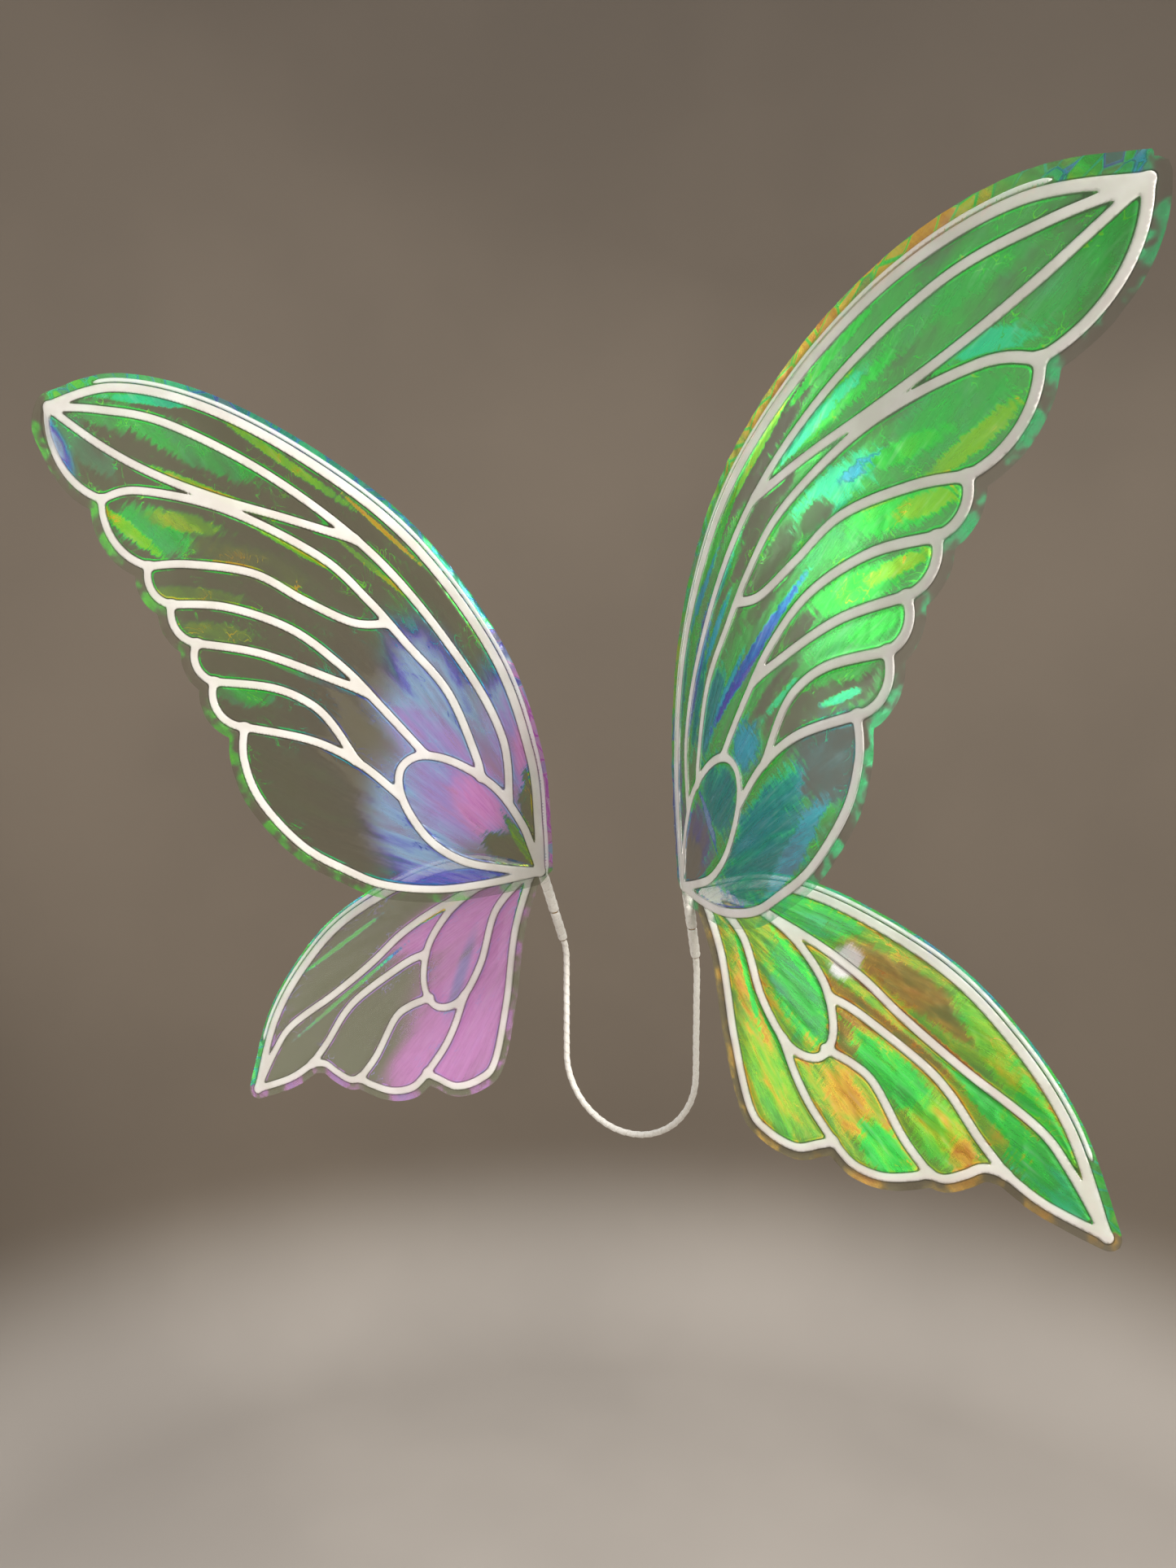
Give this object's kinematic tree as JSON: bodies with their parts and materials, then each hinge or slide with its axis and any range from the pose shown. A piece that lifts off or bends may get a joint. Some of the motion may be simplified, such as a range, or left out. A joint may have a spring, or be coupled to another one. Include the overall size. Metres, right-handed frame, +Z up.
{
  "type": "wearable fairy wings",
  "caption": "Pair of film fairy wings with white vein frames and wire edges on taped stems that turn in a U-shaped wire harness worn in the back of a dress.",
  "frame": {"origin": "middle of the U-shaped harness, between its two uprights, where the wearer's back holds it", "axes": "+Z up, +Y towards the wearer's chest, +X the wearer's right hand; the wings sweep back towards -Y"},
  "size_m": [0.8926, 0.2546, 0.7259],
  "materials": {
    "vein_white": "matt white card veins",
    "film_iridescent": "clear iridescent film, green to pink by angle",
    "wire_sleeve": "white plastic-sleeved wire",
    "rod_steel": "bright drawn wire",
    "tube_brass": "plain brass tube",
    "tape_white": "white cotton cloth tape, spiral wound"
  },
  "bodies": {
    "harness": {"harness_rod": "rod_steel", "harness_tape_wrap": "tape_white", "left_socket_tube": "tube_brass", "left_socket_tape_wrap": "tape_white", "right_socket_tube": "tube_brass", "right_socket_tape_wrap": "tape_white"},
    "left_wings": {"left_forewing_vein_frame": "vein_white", "left_forewing_film_front": "film_iridescent", "left_forewing_film_back": "film_iridescent", "left_forewing_edge_wire": "wire_sleeve", "left_hindwing_vein_frame": "vein_white", "left_hindwing_film_front": "film_iridescent", "left_hindwing_film_back": "film_iridescent", "left_hindwing_edge_wire": "wire_sleeve", "left_stem_rod": "rod_steel", "left_stem_tape_wrap": "tape_white"},
    "right_wings": {"right_forewing_vein_frame": "vein_white", "right_forewing_film_front": "film_iridescent", "right_forewing_film_back": "film_iridescent", "right_forewing_edge_wire": "wire_sleeve", "right_hindwing_vein_frame": "vein_white", "right_hindwing_film_front": "film_iridescent", "right_hindwing_film_back": "film_iridescent", "right_hindwing_edge_wire": "wire_sleeve", "right_stem_rod": "rod_steel", "right_stem_tape_wrap": "tape_white"}
  },
  "joints": [
    {"name": "left_wings_swing", "type": "hinge", "parent": "harness", "child": "left_wings", "pos_m": [-0.072, -0.034, 0.137], "axis": [-0.0593, -0.4034, 0.9131], "range_deg": [-12, 50]},
    {"name": "right_wings_swing", "type": "hinge", "parent": "harness", "child": "right_wings", "pos_m": [0.072, -0.034, 0.137], "axis": [-0.0593, 0.4034, -0.9131], "range_deg": [-12, 50]}
  ]
}
